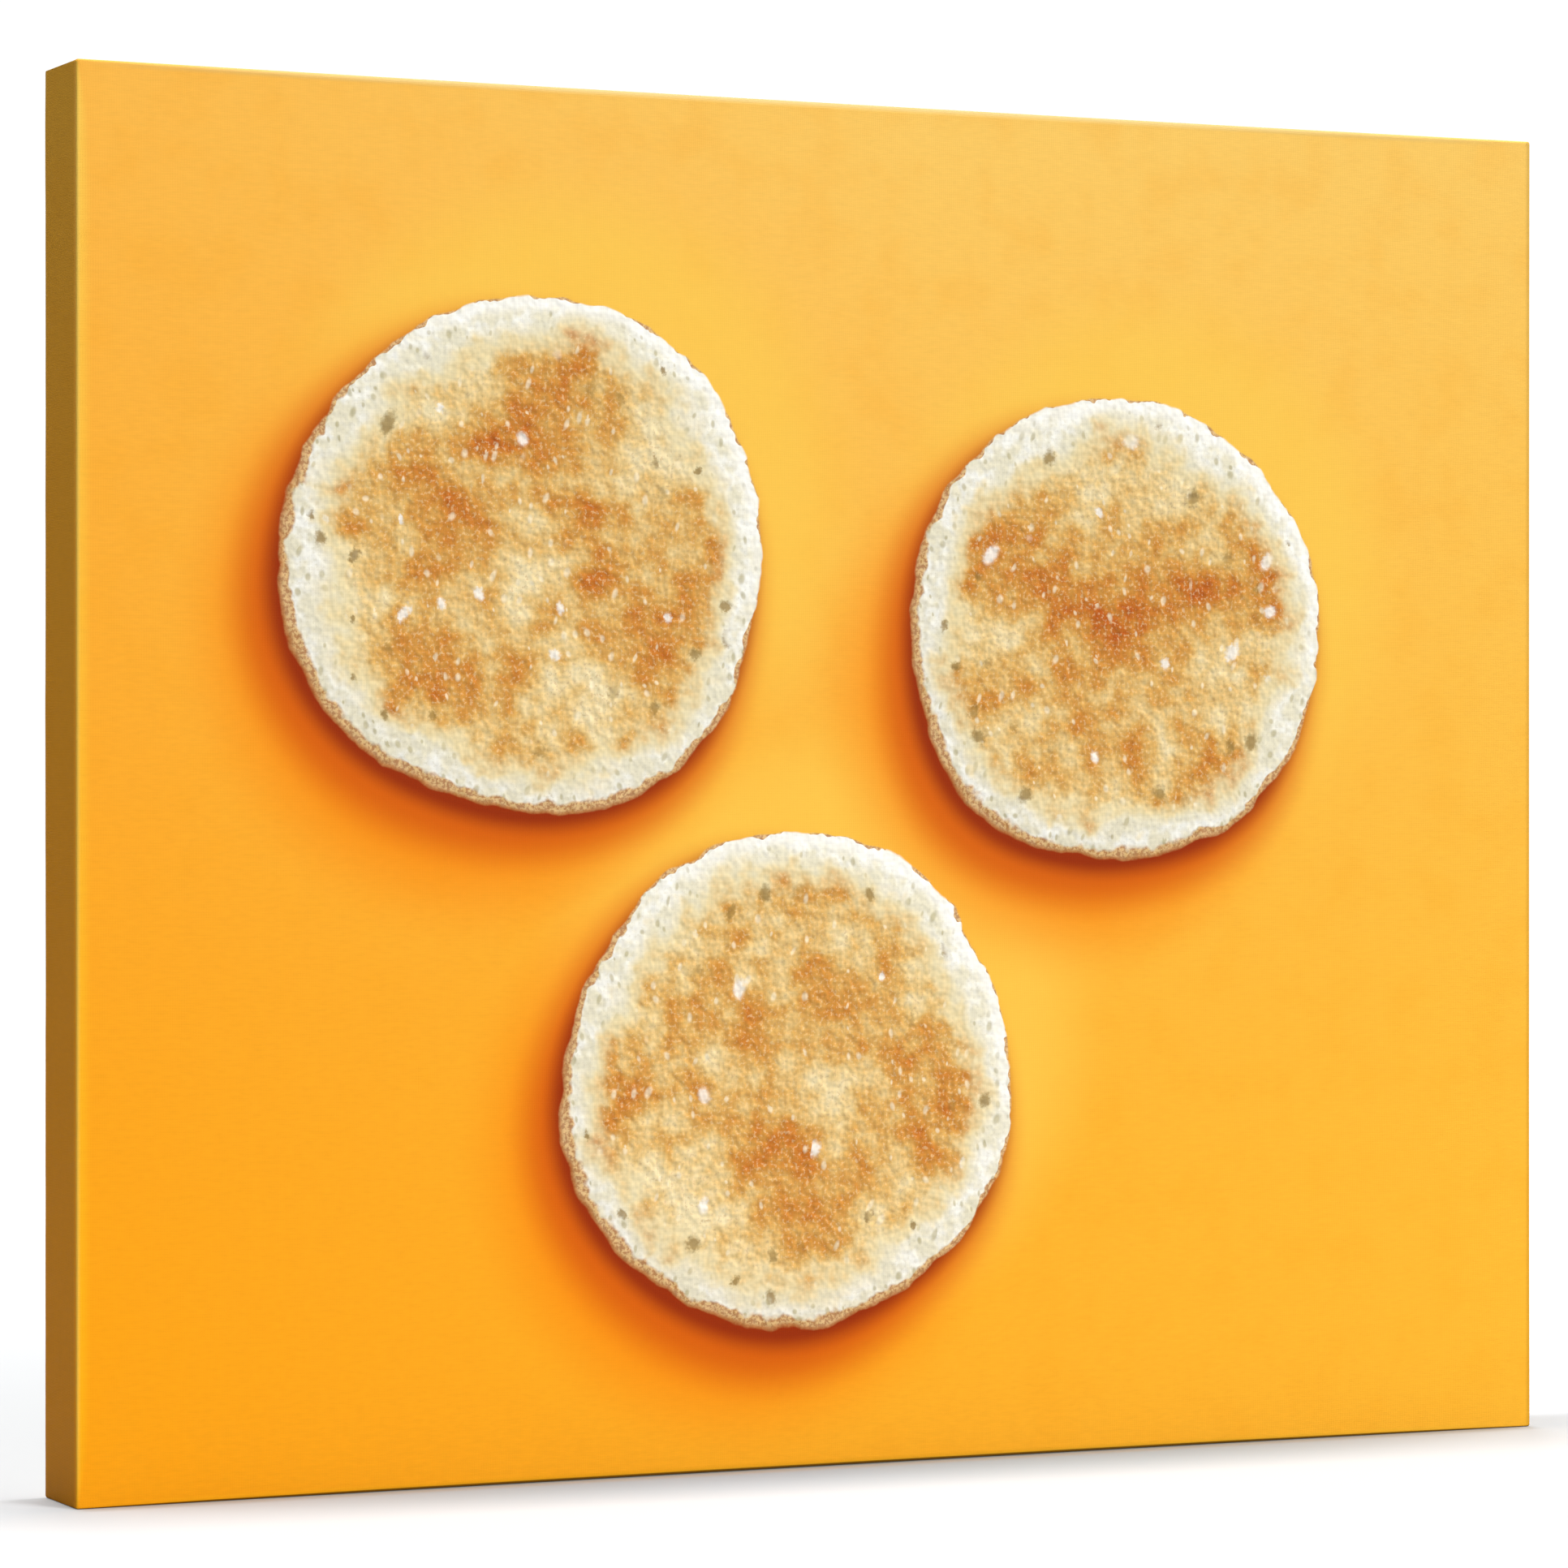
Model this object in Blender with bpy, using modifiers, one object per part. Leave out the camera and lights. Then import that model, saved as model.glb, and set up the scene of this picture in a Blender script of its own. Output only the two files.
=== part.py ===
"""A stretched canvas print: printed cloth wrapped round a pine stretcher frame.

Metres, +Z up. The printed face looks along -Y. The print stands upright on its bottom
edge, and the origin is under the middle of its whole box.

Each bar of the frame is a milled section cut at 45 degrees at both ends. The cloth is one
thin shell: the printed face, the four sides and a fold over the back of each bar, where
a row of staples holds it. A toothed steel hanger is nailed to the middle of the top bar.
"""

import math

import bmesh
import bpy
from mathutils import Matrix, Vector

# Driving dimensions
PRINT_WIDTH = 0.610
PRINT_HEIGHT = 0.5175
PRINT_DEPTH = 0.0375
CLOTH = 0.0006
CLEARANCE = 0.0003

# The cloth's wrap
FOLD_WIDTH = 0.028
FACE_EDGE_RADIUS = 0.0022
SIDE_EDGE_RADIUS = 0.0009
EDGE_SEGMENTS = 4

# The stretcher bars' milled section
BAR_WIDTH = 0.038
LIP_WIDTH = 0.006
FACE_SLOPE_DROP = 0.005
LIP_RADIUS = 0.0022
INNER_EDGE_RADIUS = 0.002
ARC_STEPS = 5

# Staples through the fold
STAPLE_CROWN = 0.0112
STAPLE_WIRE_WIDTH = 0.0013
STAPLE_WIRE_THICKNESS = 0.0006
STAPLE_INSET = 0.015
STAPLE_END_MARGIN = 0.038
STAPLES_ACROSS = 9
STAPLES_UP = 8

# The toothed hanger and its nails
HANGER_LENGTH = 0.046
HANGER_HEIGHT = 0.011
HANGER_PLATE = 0.0009
HANGER_TAB = 0.0085
HANGER_RAMP = 0.003
HANGER_RISE = 0.0018
HANGER_DROP = 0.0185
TOOTH_COUNT = 9
TOOTH_DEPTH = 0.0028
NAIL_HOLE_RADIUS = 0.0012
NAIL_HEAD_RADIUS = 0.0026
NAIL_HEAD_THICKNESS = 0.0011
NAIL_SIDES = 20

# What the driving dimensions give
HANGER_PROUD = CLEARANCE + HANGER_RISE + HANGER_PLATE
FACE_Y = -(PRINT_DEPTH + HANGER_PROUD) / 2
BACK_Y = FACE_Y + PRINT_DEPTH
MIDDLE_Z = PRINT_HEIGHT / 2
WRAP = CLOTH + CLEARANCE
BAR_DEPTH = PRINT_DEPTH - 2 * WRAP

# Colour, roughness and metallic value of each finish
FINISHES = {
    "printed_canvas": ((0.96, 0.55, 0.10), 0.55, 0.0),
    "pine": ((0.78, 0.60, 0.38), 0.60, 0.0),
    "steel": ((0.62, 0.62, 0.63), 0.35, 1.0),
}


def clear_scene():
    for thing in list(bpy.data.objects):
        bpy.data.objects.remove(thing, do_unlink=True)


def new_collection(name):
    collection = bpy.data.collections.new(name)
    bpy.context.scene.collection.children.link(collection)
    return collection


def new_material(name):
    colour, roughness, metallic = FINISHES[name]
    material = bpy.data.materials.new(name)
    material.use_nodes = True
    shader = material.node_tree.nodes["Principled BSDF"]
    shader.inputs["Base Color"].default_value = (*colour, 1.0)
    shader.inputs["Roughness"].default_value = roughness
    shader.inputs["Metallic"].default_value = metallic
    material.diffuse_color = (*colour, 1.0)
    return material


def mesh_from(bm, name, material):
    """A mesh data block from bm, shaded smooth over its rounded edges, in one material."""
    bmesh.ops.recalc_face_normals(bm, faces=bm.faces)
    mesh = bpy.data.meshes.new(name)
    bm.to_mesh(mesh)
    bm.free()
    mesh.materials.append(material)
    mesh.shade_smooth()
    mesh.set_sharp_from_angle(angle=math.radians(35))
    return mesh


def place(name, mesh, collection, location=(0, 0, 0), turn=0.0):
    """An object at location, turned by turn about the Y axis."""
    thing = bpy.data.objects.new(name, mesh)
    thing.location = location
    thing.rotation_euler = (0, turn, 0)
    collection.objects.link(thing)
    return thing


def make_cutter(thing):
    thing.hide_render = True
    thing.display_type = "WIRE"


def cut_with(thing, cutter):
    """Takes cutter's shape out of thing."""
    cut = thing.modifiers.new("cut_" + cutter.name, "BOOLEAN")
    cut.operation = "DIFFERENCE"
    cut.solver = "EXACT"
    cut.object = cutter


def arc(centre, radius, start, end):
    """Points on a circle about centre, from the angle start to the angle end in degrees."""
    angles = [start + (end - start) * i / ARC_STEPS for i in range(ARC_STEPS + 1)]
    return [
        (
            centre[0] + radius * math.cos(math.radians(a)),
            centre[1] + radius * math.sin(math.radians(a)),
        )
        for a in angles
    ]


def bar_section():
    """The bar's section, as (inward from its outer side, back from its front) points.

    A round lip carries the cloth. From the lip the front slopes away, so that the cloth
    touches the bar along its outer edge only.
    """
    r = INNER_EDGE_RADIUS
    section = arc((LIP_RADIUS, LIP_RADIUS), LIP_RADIUS, 180, 270)
    section.append((LIP_WIDTH, 0))
    section.append((BAR_WIDTH, FACE_SLOPE_DROP))
    section += arc((BAR_WIDTH - r, BAR_DEPTH - r), r, 0, 90)
    section.append((0, BAR_DEPTH))
    return section


def bar_mesh(name, length, distance, material):
    """A bar of outer length, lying along X, with its outer side distance below the origin.

    The section is extruded along X, and a plane at 45 degrees through each outer corner,
    set back by half the clearance, cuts the end.
    """
    bm = bmesh.new()
    corners = [bm.verts.new((-length / 2, back, inward - distance)) for inward, back in bar_section()]
    end = bm.faces.new(corners)
    swept = bmesh.ops.extrude_face_region(bm, geom=[end])
    moved = [v for v in swept["geom"] if isinstance(v, bmesh.types.BMVert)]
    bmesh.ops.translate(bm, verts=moved, vec=(length, 0, 0))
    for side in (-1, 1):
        outwards = Vector((side, 0, 1)).normalized()
        corner = Vector((side * length / 2, 0, -distance))
        cut = bmesh.ops.bisect_plane(
            bm,
            geom=bm.verts[:] + bm.edges[:] + bm.faces[:],
            plane_co=corner - outwards * CLEARANCE / 2,
            plane_no=outwards,
            clear_outer=True,
        )
        rim = [e for e in cut["geom_cut"] if isinstance(e, bmesh.types.BMEdge)]
        bmesh.ops.contextual_create(bm, geom=rim)
    return mesh_from(bm, name, material)


def add_bars(collection, material):
    """The four bars, each turned about the frame's centre to its own side."""
    across = PRINT_WIDTH - 2 * WRAP
    up = PRINT_HEIGHT - 2 * WRAP
    level = bar_mesh("level_bar", across, up / 2, material)
    upright = bar_mesh("upright_bar", up, across / 2, material)
    centre = (0, FACE_Y + WRAP, MIDDLE_Z)
    quarter = math.radians(90)
    place("bar_bottom", level, collection, centre)
    place("bar_left", upright, collection, centre, quarter)
    place("bar_top", level, collection, centre, 2 * quarter)
    place("bar_right", upright, collection, centre, 3 * quarter)


def add_cloth(collection, material):
    """The cloth: a box open at the back, its rim turned in, edges rounded, then thickened."""
    bm = bmesh.new()
    size = Matrix.Diagonal((PRINT_WIDTH, PRINT_DEPTH, PRINT_HEIGHT, 1))
    bmesh.ops.create_cube(bm, size=1, matrix=size)
    back = next(f for f in bm.faces if f.normal.y > 0.5)
    bmesh.ops.inset_region(bm, faces=[back], thickness=FOLD_WIDTH, use_even_offset=True)
    bmesh.ops.delete(bm, geom=[back], context="FACES")
    rounding = bm.edges.layers.float.new("bevel_weight_edge")
    for edge in bm.edges:
        if edge.is_manifold and edge.calc_face_angle() > 1:
            at_face = all(v.co.y < 0 for v in edge.verts)
            edge[rounding] = 1 if at_face else SIDE_EDGE_RADIUS / FACE_EDGE_RADIUS
    cloth = place("canvas", mesh_from(bm, "canvas", material), collection)
    cloth.location = (0, FACE_Y + PRINT_DEPTH / 2, MIDDLE_Z)

    bevel = cloth.modifiers.new("rounded_edges", "BEVEL")
    bevel.limit_method = "WEIGHT"
    bevel.width = FACE_EDGE_RADIUS
    bevel.segments = EDGE_SEGMENTS

    wall = cloth.modifiers.new("cloth_thickness", "SOLIDIFY")
    wall.thickness = CLOTH
    wall.offset = -1
    wall.use_even_offset = True


def staple_mesh(material):
    """A staple's crown: a flat wire with its long edges eased."""
    bm = bmesh.new()
    size = Matrix.Diagonal((STAPLE_CROWN, STAPLE_WIRE_THICKNESS, STAPLE_WIRE_WIDTH, 1))
    bmesh.ops.create_cube(bm, size=1, matrix=size)
    outer = [e for e in bm.edges if all(v.co.y > 0 for v in e.verts)]
    bmesh.ops.bevel(bm, geom=outer, offset=STAPLE_WIRE_THICKNESS / 3, segments=1, affect="EDGES")
    return mesh_from(bm, "staple", material)


def spaced(length, count):
    """count places along a side of length, evenly spaced between its end margins."""
    run = length - 2 * STAPLE_END_MARGIN
    return [run * (i / (count - 1) - 0.5) for i in range(count)]


def add_staples(collection, material):
    """A row of staples along each side's fold, every one in line with its side."""
    staple = staple_mesh(material)
    y = BACK_Y + CLEARANCE + STAPLE_WIRE_THICKNESS / 2
    quarter = math.radians(90)
    for i, x in enumerate(spaced(PRINT_WIDTH, STAPLES_ACROSS), start=1):
        place(f"staple_bottom_{i}", staple, collection, (x, y, STAPLE_INSET))
        place(f"staple_top_{i}", staple, collection, (x, y, PRINT_HEIGHT - STAPLE_INSET))
    for i, z in enumerate(spaced(PRINT_HEIGHT, STAPLES_UP), start=1):
        side = PRINT_WIDTH / 2 - STAPLE_INSET
        place(f"staple_left_{i}", staple, collection, (-side, y, MIDDLE_Z + z), quarter)
        place(f"staple_right_{i}", staple, collection, (side, y, MIDDLE_Z + z), quarter)


def teeth_cutter(collection):
    """A saw-toothed prism that leaves TOOTH_COUNT teeth on the hanger's lower edge."""
    run = HANGER_LENGTH - 2 * (HANGER_TAB + HANGER_RAMP)
    pitch = run / TOOTH_COUNT
    low = -HANGER_HEIGHT / 2
    outline = [(-run / 2, low - TOOTH_DEPTH)]
    for i in range(TOOTH_COUNT):
        start = -run / 2 + i * pitch
        outline.append((start, low - CLEARANCE))
        outline.append((start + pitch / 2, low + TOOTH_DEPTH))
    outline.append((run / 2, low - CLEARANCE))
    outline.append((run / 2, low - TOOTH_DEPTH))
    bm = bmesh.new()
    face = bm.faces.new([bm.verts.new((x, -HANGER_RISE, z)) for x, z in outline])
    swept = bmesh.ops.extrude_face_region(bm, geom=[face])
    moved = [v for v in swept["geom"] if isinstance(v, bmesh.types.BMVert)]
    bmesh.ops.translate(bm, verts=moved, vec=(0, 4 * HANGER_RISE, 0))
    bmesh.ops.recalc_face_normals(bm, faces=bm.faces)
    mesh = bpy.data.meshes.new("hanger_teeth")
    bm.to_mesh(mesh)
    bm.free()
    cutter = place("hanger_teeth", mesh, collection)
    make_cutter(cutter)
    return cutter


def nail_cutter(collection, x):
    bm = bmesh.new()
    bmesh.ops.create_cone(
        bm,
        cap_ends=True,
        segments=NAIL_SIDES,
        radius1=NAIL_HOLE_RADIUS,
        radius2=NAIL_HOLE_RADIUS,
        depth=6 * HANGER_PLATE,
        matrix=Matrix.Rotation(math.radians(90), 4, "X"),
    )
    mesh = bpy.data.meshes.new("nail_hole")
    bm.to_mesh(mesh)
    bm.free()
    cutter = place("nail_hole", mesh, collection, (x, 0, 0))
    make_cutter(cutter)
    return cutter


def add_hanger(collection, cutters, material):
    """A steel strip with a flat tab at each end and a raised, toothed middle."""
    half = HANGER_LENGTH / 2
    rise_start = half - HANGER_TAB
    rise_end = rise_start - HANGER_RAMP
    path = [(-half, 0), (-rise_start, 0), (-rise_end, HANGER_RISE)]
    path += [(-x, y) for x, y in reversed(path)]
    bm = bmesh.new()
    upper = [bm.verts.new((x, y, HANGER_HEIGHT / 2)) for x, y in path]
    edges = [bm.edges.new(pair) for pair in zip(upper, upper[1:])]
    swept = bmesh.ops.extrude_edge_only(bm, edges=edges)
    moved = [v for v in swept["geom"] if isinstance(v, bmesh.types.BMVert)]
    bmesh.ops.translate(bm, verts=moved, vec=(0, 0, -HANGER_HEIGHT))
    strip = place("hanger", mesh_from(bm, "hanger", material), collection)
    strip.location = (0, BACK_Y + CLEARANCE, PRINT_HEIGHT - HANGER_DROP)

    plate = strip.modifiers.new("plate", "SOLIDIFY")
    plate.thickness = HANGER_PLATE
    plate.offset = 1 if strip.data.polygons[0].normal.y > 0 else -1
    plate.use_even_offset = True

    nail_x = half - HANGER_TAB / 2
    for cutter in [teeth_cutter(cutters), nail_cutter(cutters, -nail_x), nail_cutter(cutters, nail_x)]:
        cutter.location += strip.location
        cut_with(strip, cutter)

    for side, x in (("left", -nail_x), ("right", nail_x)):
        add_nail("nail_" + side, collection, material, strip.location + Vector((x, HANGER_PLATE, 0)))


def add_nail(name, collection, material, seat):
    """A nail's round head, domed by a taper, on the hanger's tab. Its shank is in the wood."""
    bm = bmesh.new()
    bmesh.ops.create_cone(
        bm,
        cap_ends=True,
        segments=NAIL_SIDES,
        radius1=NAIL_HEAD_RADIUS,
        radius2=NAIL_HEAD_RADIUS * 0.7,
        depth=NAIL_HEAD_THICKNESS,
        matrix=Matrix.Rotation(math.radians(-90), 4, "X"),
    )
    centre = seat + Vector((0, CLEARANCE + NAIL_HEAD_THICKNESS / 2, 0))
    place(name, mesh_from(bm, name, material), collection, centre)


clear_scene()
parts = new_collection("stretched_canvas_print")
cutters = new_collection("cutters")
printed_canvas = new_material("printed_canvas")
pine = new_material("pine")
steel = new_material("steel")
add_cloth(parts, printed_canvas)
add_bars(parts, pine)
add_staples(parts, steel)
add_hanger(parts, cutters, steel)
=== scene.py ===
import math

import bpy
import numpy as np
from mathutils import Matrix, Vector


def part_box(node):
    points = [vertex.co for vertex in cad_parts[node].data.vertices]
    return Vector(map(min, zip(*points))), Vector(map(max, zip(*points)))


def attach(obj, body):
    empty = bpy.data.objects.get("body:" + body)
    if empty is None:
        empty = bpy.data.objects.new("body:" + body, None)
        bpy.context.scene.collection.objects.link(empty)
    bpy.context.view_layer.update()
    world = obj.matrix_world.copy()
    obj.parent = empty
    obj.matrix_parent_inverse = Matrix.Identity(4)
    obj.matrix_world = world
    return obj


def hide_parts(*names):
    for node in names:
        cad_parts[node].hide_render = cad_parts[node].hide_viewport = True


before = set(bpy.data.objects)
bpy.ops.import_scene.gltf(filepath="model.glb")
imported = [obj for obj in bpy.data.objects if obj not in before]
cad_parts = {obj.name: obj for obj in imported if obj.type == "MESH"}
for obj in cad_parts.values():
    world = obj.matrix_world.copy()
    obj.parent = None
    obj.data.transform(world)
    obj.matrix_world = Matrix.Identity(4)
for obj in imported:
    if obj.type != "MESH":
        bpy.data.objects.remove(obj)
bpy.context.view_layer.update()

# The stretcher frame: four planed pine bars, mitred at the corners, with a raised lip
# along the outer front edge. The bars stay as packed, and get bare pine: pale sapwood
# with darker growth rings that run along each bar, fine fibres and a small knot or two.


class Thread:
    """One value or colour in a finish. Arithmetic on it adds Math or Vector Math nodes."""

    def __init__(self, finish, socket):
        self.finish = finish
        self.socket = socket

    def reckon(self, operation, *values):
        kind = "ShaderNodeVectorMath" if any(is_vector(v) for v in values) else "ShaderNodeMath"
        return self.finish.add(kind, {"operation": operation}, dict(enumerate(values)))

    def __add__(self, other):
        return self.reckon("ADD", self, other)

    def __radd__(self, other):
        return self.reckon("ADD", other, self)

    def __sub__(self, other):
        return self.reckon("SUBTRACT", self, other)

    def __rsub__(self, other):
        return self.reckon("SUBTRACT", other, self)

    def __mul__(self, other):
        return self.reckon("MULTIPLY", self, other)

    def __rmul__(self, other):
        return self.reckon("MULTIPLY", other, self)

    def __truediv__(self, other):
        return self.reckon("DIVIDE", self, other)

    def __pow__(self, other):
        return self.reckon("POWER", self, other)


def is_vector(value):
    """A vector or colour, as three numbers or as a socket that carries one."""
    if isinstance(value, Thread):
        return value.socket.type in ("VECTOR", "RGBA")
    return isinstance(value, tuple)


class Finish:
    """A material under construction: a Principled surface and the nodes that feed it."""

    def __init__(self, name, roughness, specular=0.5, metallic=0.0, dimensions="3D"):
        self.material = bpy.data.materials.new(name)
        self.material.use_nodes = True
        self.tree = self.material.node_tree
        self.surface = self.tree.nodes["Principled BSDF"]
        self.dimensions = dimensions
        self.give("Roughness", roughness)
        self.give("Specular IOR Level", specular)
        self.give("Metallic", metallic)

    def add(self, kind, settings, inputs, output=0):
        """A node of this kind: its settings are made first, then its sockets filled or linked."""
        node = self.tree.nodes.new(kind)
        for setting, value in settings.items():
            if setting == "stops":
                set_stops(node.color_ramp, value)
            else:
                setattr(node, setting, value)
        for socket, value in inputs.items():
            self.feed(node.inputs[socket], value)
        return Thread(self, node.outputs[output])

    def feed(self, socket, value):
        if isinstance(value, Thread):
            self.tree.links.new(value.socket, socket)
        elif socket.type == "RGBA":
            socket.default_value = (*value[:3], 1.0)
        else:
            socket.default_value = value

    def give(self, name, value):
        self.feed(self.surface.inputs[name], value)

    def noise(self, where, scale, detail=2.0, roughness=0.5):
        """Fractal noise from 0 to 1 about a mean of a half."""
        settings = {"noise_dimensions": self.dimensions}
        sockets = {"Vector": where, "Scale": scale, "Detail": detail, "Roughness": roughness}
        return self.add("ShaderNodeTexNoise", settings, sockets, "Fac")

    def drift(self, where, scale, reach, detail=0.0):
        """Moves a place by up to about half of reach, each axis by its own noise."""
        settings = {"noise_dimensions": self.dimensions}
        sockets = {"Vector": where, "Scale": scale, "Detail": detail}
        push = self.add("ShaderNodeTexNoise", settings, sockets, "Color")
        return where + (push - (0.5, 0.5, 0.5)) * (reach, reach, reach)

    def rise(self, value, low, high, curve="SMOOTHSTEP"):
        """0 at low and 1 at high, with an S curve between; low may be above high."""
        sockets = {"Value": value, "From Min": low, "From Max": high}
        return self.add("ShaderNodeMapRange", {"interpolation_type": curve}, sockets)

    def math(self, operation, *values):
        return self.add("ShaderNodeMath", {"operation": operation}, dict(enumerate(values)))

    def blend(self, share, first, second):
        """first where share is 0, second where it is 1."""
        settings = {"data_type": "RGBA", "clamp_factor": True}
        return self.add("ShaderNodeMix", settings, {0: share, 6: first, 7: second}, 2)

    def shade(self, colour, strength):
        """A colour made lighter or darker by a factor."""
        return self.add("ShaderNodeVectorMath", {"operation": "SCALE"}, {0: colour, 3: strength})

    def emboss(self, height, distance, strength=1.0):
        sockets = {"Height": height, "Distance": distance, "Strength": strength}
        self.give("Normal", self.add("ShaderNodeBump", {}, sockets))

    def overlay(self, share, colour):
        """A second surface, like the first but for its colour, in place of it where share is 1."""
        sockets = {"Base Color": colour}
        for name in ("Roughness", "Metallic", "Specular IOR Level", "Normal"):
            given = self.surface.inputs[name]
            if given.is_linked:
                sockets[name] = Thread(self, given.links[0].from_socket)
            else:
                sockets[name] = given.default_value
        second = self.add("ShaderNodeBsdfPrincipled", {}, sockets)
        first = Thread(self, self.surface.outputs[0])
        both = self.add("ShaderNodeMixShader", {}, {0: share, 1: first, 2: second})
        self.feed(self.tree.nodes["Material Output"].inputs["Surface"], both)

    def object_place(self):
        return self.add("ShaderNodeTexCoord", {}, {}, "Object")

    def parts_of(self, vector):
        node = self.add("ShaderNodeSeparateXYZ", {}, {0: vector}).socket.node
        return [Thread(self, socket) for socket in node.outputs]


def set_stops(ramp, stops):
    while len(ramp.elements) < len(stops):
        ramp.elements.new(0.5)
    for element, (position, colour) in zip(ramp.elements, stops):
        element.position = position
        element.color = (*colour, 1.0)


def seen(red, green, blue):
    """A colour of 0 to 255 as a screen shows it, in the linear light that shaders use."""
    screen = np.array((red, green, blue)) / 255
    linear = np.where(screen > 0.04045, ((screen + 0.055) / 1.055) ** 2.4, screen / 12.92)
    return tuple(float(c) for c in linear)


RING_WIDTH = 0.0031
PITH_ASIDE = 0.012
PITH_BEHIND = 0.034


def pine(name, along, pith):
    """Bare planed pine. along is the bar's long axis, 0 for X and 2 for Z.

    The growth rings are circles about the pith, which lies outside the board and wanders
    slowly along it, so the planed faces show long lines and a few open arches. Each ring
    darkens through its season and ends at once, and no two are equally wide or dark.
    """
    wood = Finish(name, roughness=0.58, specular=0.3)
    place = wood.object_place()

    def drawn_out(share):
        return place * tuple(share if axis == along else 1.0 for axis in range(3))

    lengthened = drawn_out(0.045)
    x, y, z = wood.parts_of(wood.drift(lengthened, 22.0, 0.022, detail=1.0))
    across = (z if along == 0 else x) - pith[0]
    deep = y - pith[1]
    radius = (across * across + deep * deep) ** 0.5
    outward = radius * (1.0, 0.4, 0.7)
    season = wood.math("FRACT", radius / RING_WIDTH + wood.noise(outward, 150.0, 1.0) * 2.0)
    late = wood.rise(season, 0.25, 0.88) * wood.rise(season, 1.0, 0.93)
    late = late * (wood.noise(outward, 260.0, 0.0) * 1.5 - 0.15)
    fibre = wood.noise(drawn_out(0.02), 1900.0, 3.0)
    blush = wood.noise(lengthened, 60.0, 3.0)
    cells = {"Vector": drawn_out(0.35), "Scale": 7.5}
    knot_gap = wood.add("ShaderNodeTexVoronoi", {}, cells, "Distance")
    knot = wood.rise(knot_gap + fibre * 0.02, 0.075, 0.035)
    colour = wood.blend(blush, seen(226, 196, 152), seen(238, 212, 170))
    colour = wood.blend(late, colour, seen(192, 142, 86))
    colour = wood.blend(knot * 0.75, colour, seen(140, 88, 48))
    colour = wood.shade(colour, fibre * 0.24 + 0.88)
    wood.give("Base Color", colour)
    wood.give("Roughness", fibre * 0.2 + 0.5)
    wood.emboss(fibre * 0.6 + late * 0.4, 0.00025, 0.7)
    return wood.material


def coat(node, material):
    """Gives its finish to a solid that stays as packed."""
    surfaces = bpy.data.objects[node].data.materials
    surfaces.clear()
    surfaces.append(material)


for bar, along in {"bar_bottom": 0, "bar_top": 0, "bar_left": 2, "bar_right": 2}.items():
    low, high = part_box(bar)
    middle = (low + high) / 2
    pith = (middle[2 - along] + PITH_ASIDE, middle[1] + PITH_BEHIND)
    coat(bar, pine("pine_" + bar, along, pith))

# The cloth: one piece of coated cotton canvas, printed, pulled over the frame's lip and
# down its sides, folded at the corners, turned over the back of each bar and stapled.

wrap_low, wrap_high = (np.array(corner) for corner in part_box("canvas"))
WIDTH, DEPTH, HEIGHT = wrap_high - wrap_low
FACE_Y = wrap_low[1]
MIDDLE_Z = (wrap_low[2] + wrap_high[2]) / 2
CLOTH_THICKNESS = 0.00042
TURNED_OVER = 0.028
CORNER_RADIUS = 0.0009
LEVEL_EDGE_RADIUS = 0.0030
UPRIGHT_EDGE_RADIUS = 0.0013
BACK_RADIUS = 0.0011
RIM = 0.0034
FOLD_RISE = 0.00040
TUCKED_IN = 0.00045
SIDE_PULL = 0.00010
BACK_PATCH_RISE = 0.00055
BACK_RIPPLE = 0.00016
BACK_PRESSED = 0.00035
STAPLE_DIP = 0.00022
TUCK_HEIGHT = 0.00030
CUT_WANDER = 0.0009
FACE_SLACK = 0.00018
FACE_WAVES = 0.00006
COLUMNS = 139
ROWS_UP = 119
half_w, half_h = WIDTH / 2 - RIM, HEIGHT / 2 - RIM


def even_curve(value, low, high):
    """3t^2 - 2t^3, with t going from 0 at low to 1 at high."""
    t = np.clip((value - low) / (high - low), 0.0, 1.0)
    return t * t * (3 - 2 * t)


def waves(along, seed, count, longest):
    """A sum of count sines, each 1.7 times shorter and 1.5 times lower than the last."""
    draw = np.random.default_rng(seed)
    total = np.zeros_like(along)
    for i in range(count):
        total += np.sin(2 * np.pi * along / (longest / 1.7**i) + draw.uniform(0, 6.3)) / 1.5**i
    return total / 2.2


def round_the_face(columns, rows):
    """The ring of points round the flat of the face, in order, side after side.

    Each has its base on the flat's edge, its side's outward normal, the outward normal of
    its own strip, which turns at a corner, and the share of the rim that it slides along
    the side, so that the strips next to a corner spread out to meet it.
    """
    stretch = np.array([0.2, 0.4, 0.55, 0.68, 0.8, 0.9, 1.0])
    turn = np.radians([22.5, 45.0, 67.5])[:, None]
    sides = [
        (np.column_stack([columns, np.full_like(columns, -half_h)]), (0, -1), (1, 0)),
        (np.column_stack([np.full_like(rows, half_w), rows]), (1, 0), (0, 1)),
        (np.column_stack([columns[::-1], np.full_like(columns, half_h)]), (0, 1), (-1, 0)),
        (np.column_stack([np.full_like(rows, -half_w), rows[::-1]]), (-1, 0), (0, -1)),
    ]
    base, side_normal, normal, slide = [], [], [], []
    for places, out, onward in sides:
        out, onward = np.array(out, float), np.array(onward, float)
        ends = len(stretch)
        moves = np.concatenate([-stretch[::-1], np.zeros(len(places)), stretch])
        strip = np.vstack([np.repeat(places[:1], ends, 0), places, np.repeat(places[-1:], ends, 0)])
        base += [strip, np.repeat(places[-1:], len(turn), 0)]
        side_normal += [np.tile(out, (len(strip) + len(turn), 1))]
        normal += [np.tile(out, (len(strip), 1)), np.cos(turn) * out + np.sin(turn) * onward]
        slide += [moves[:, None] * onward, np.tile(onward, (len(turn), 1))]
    return [np.vstack(part) for part in (base, side_normal, normal, slide)]


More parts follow.
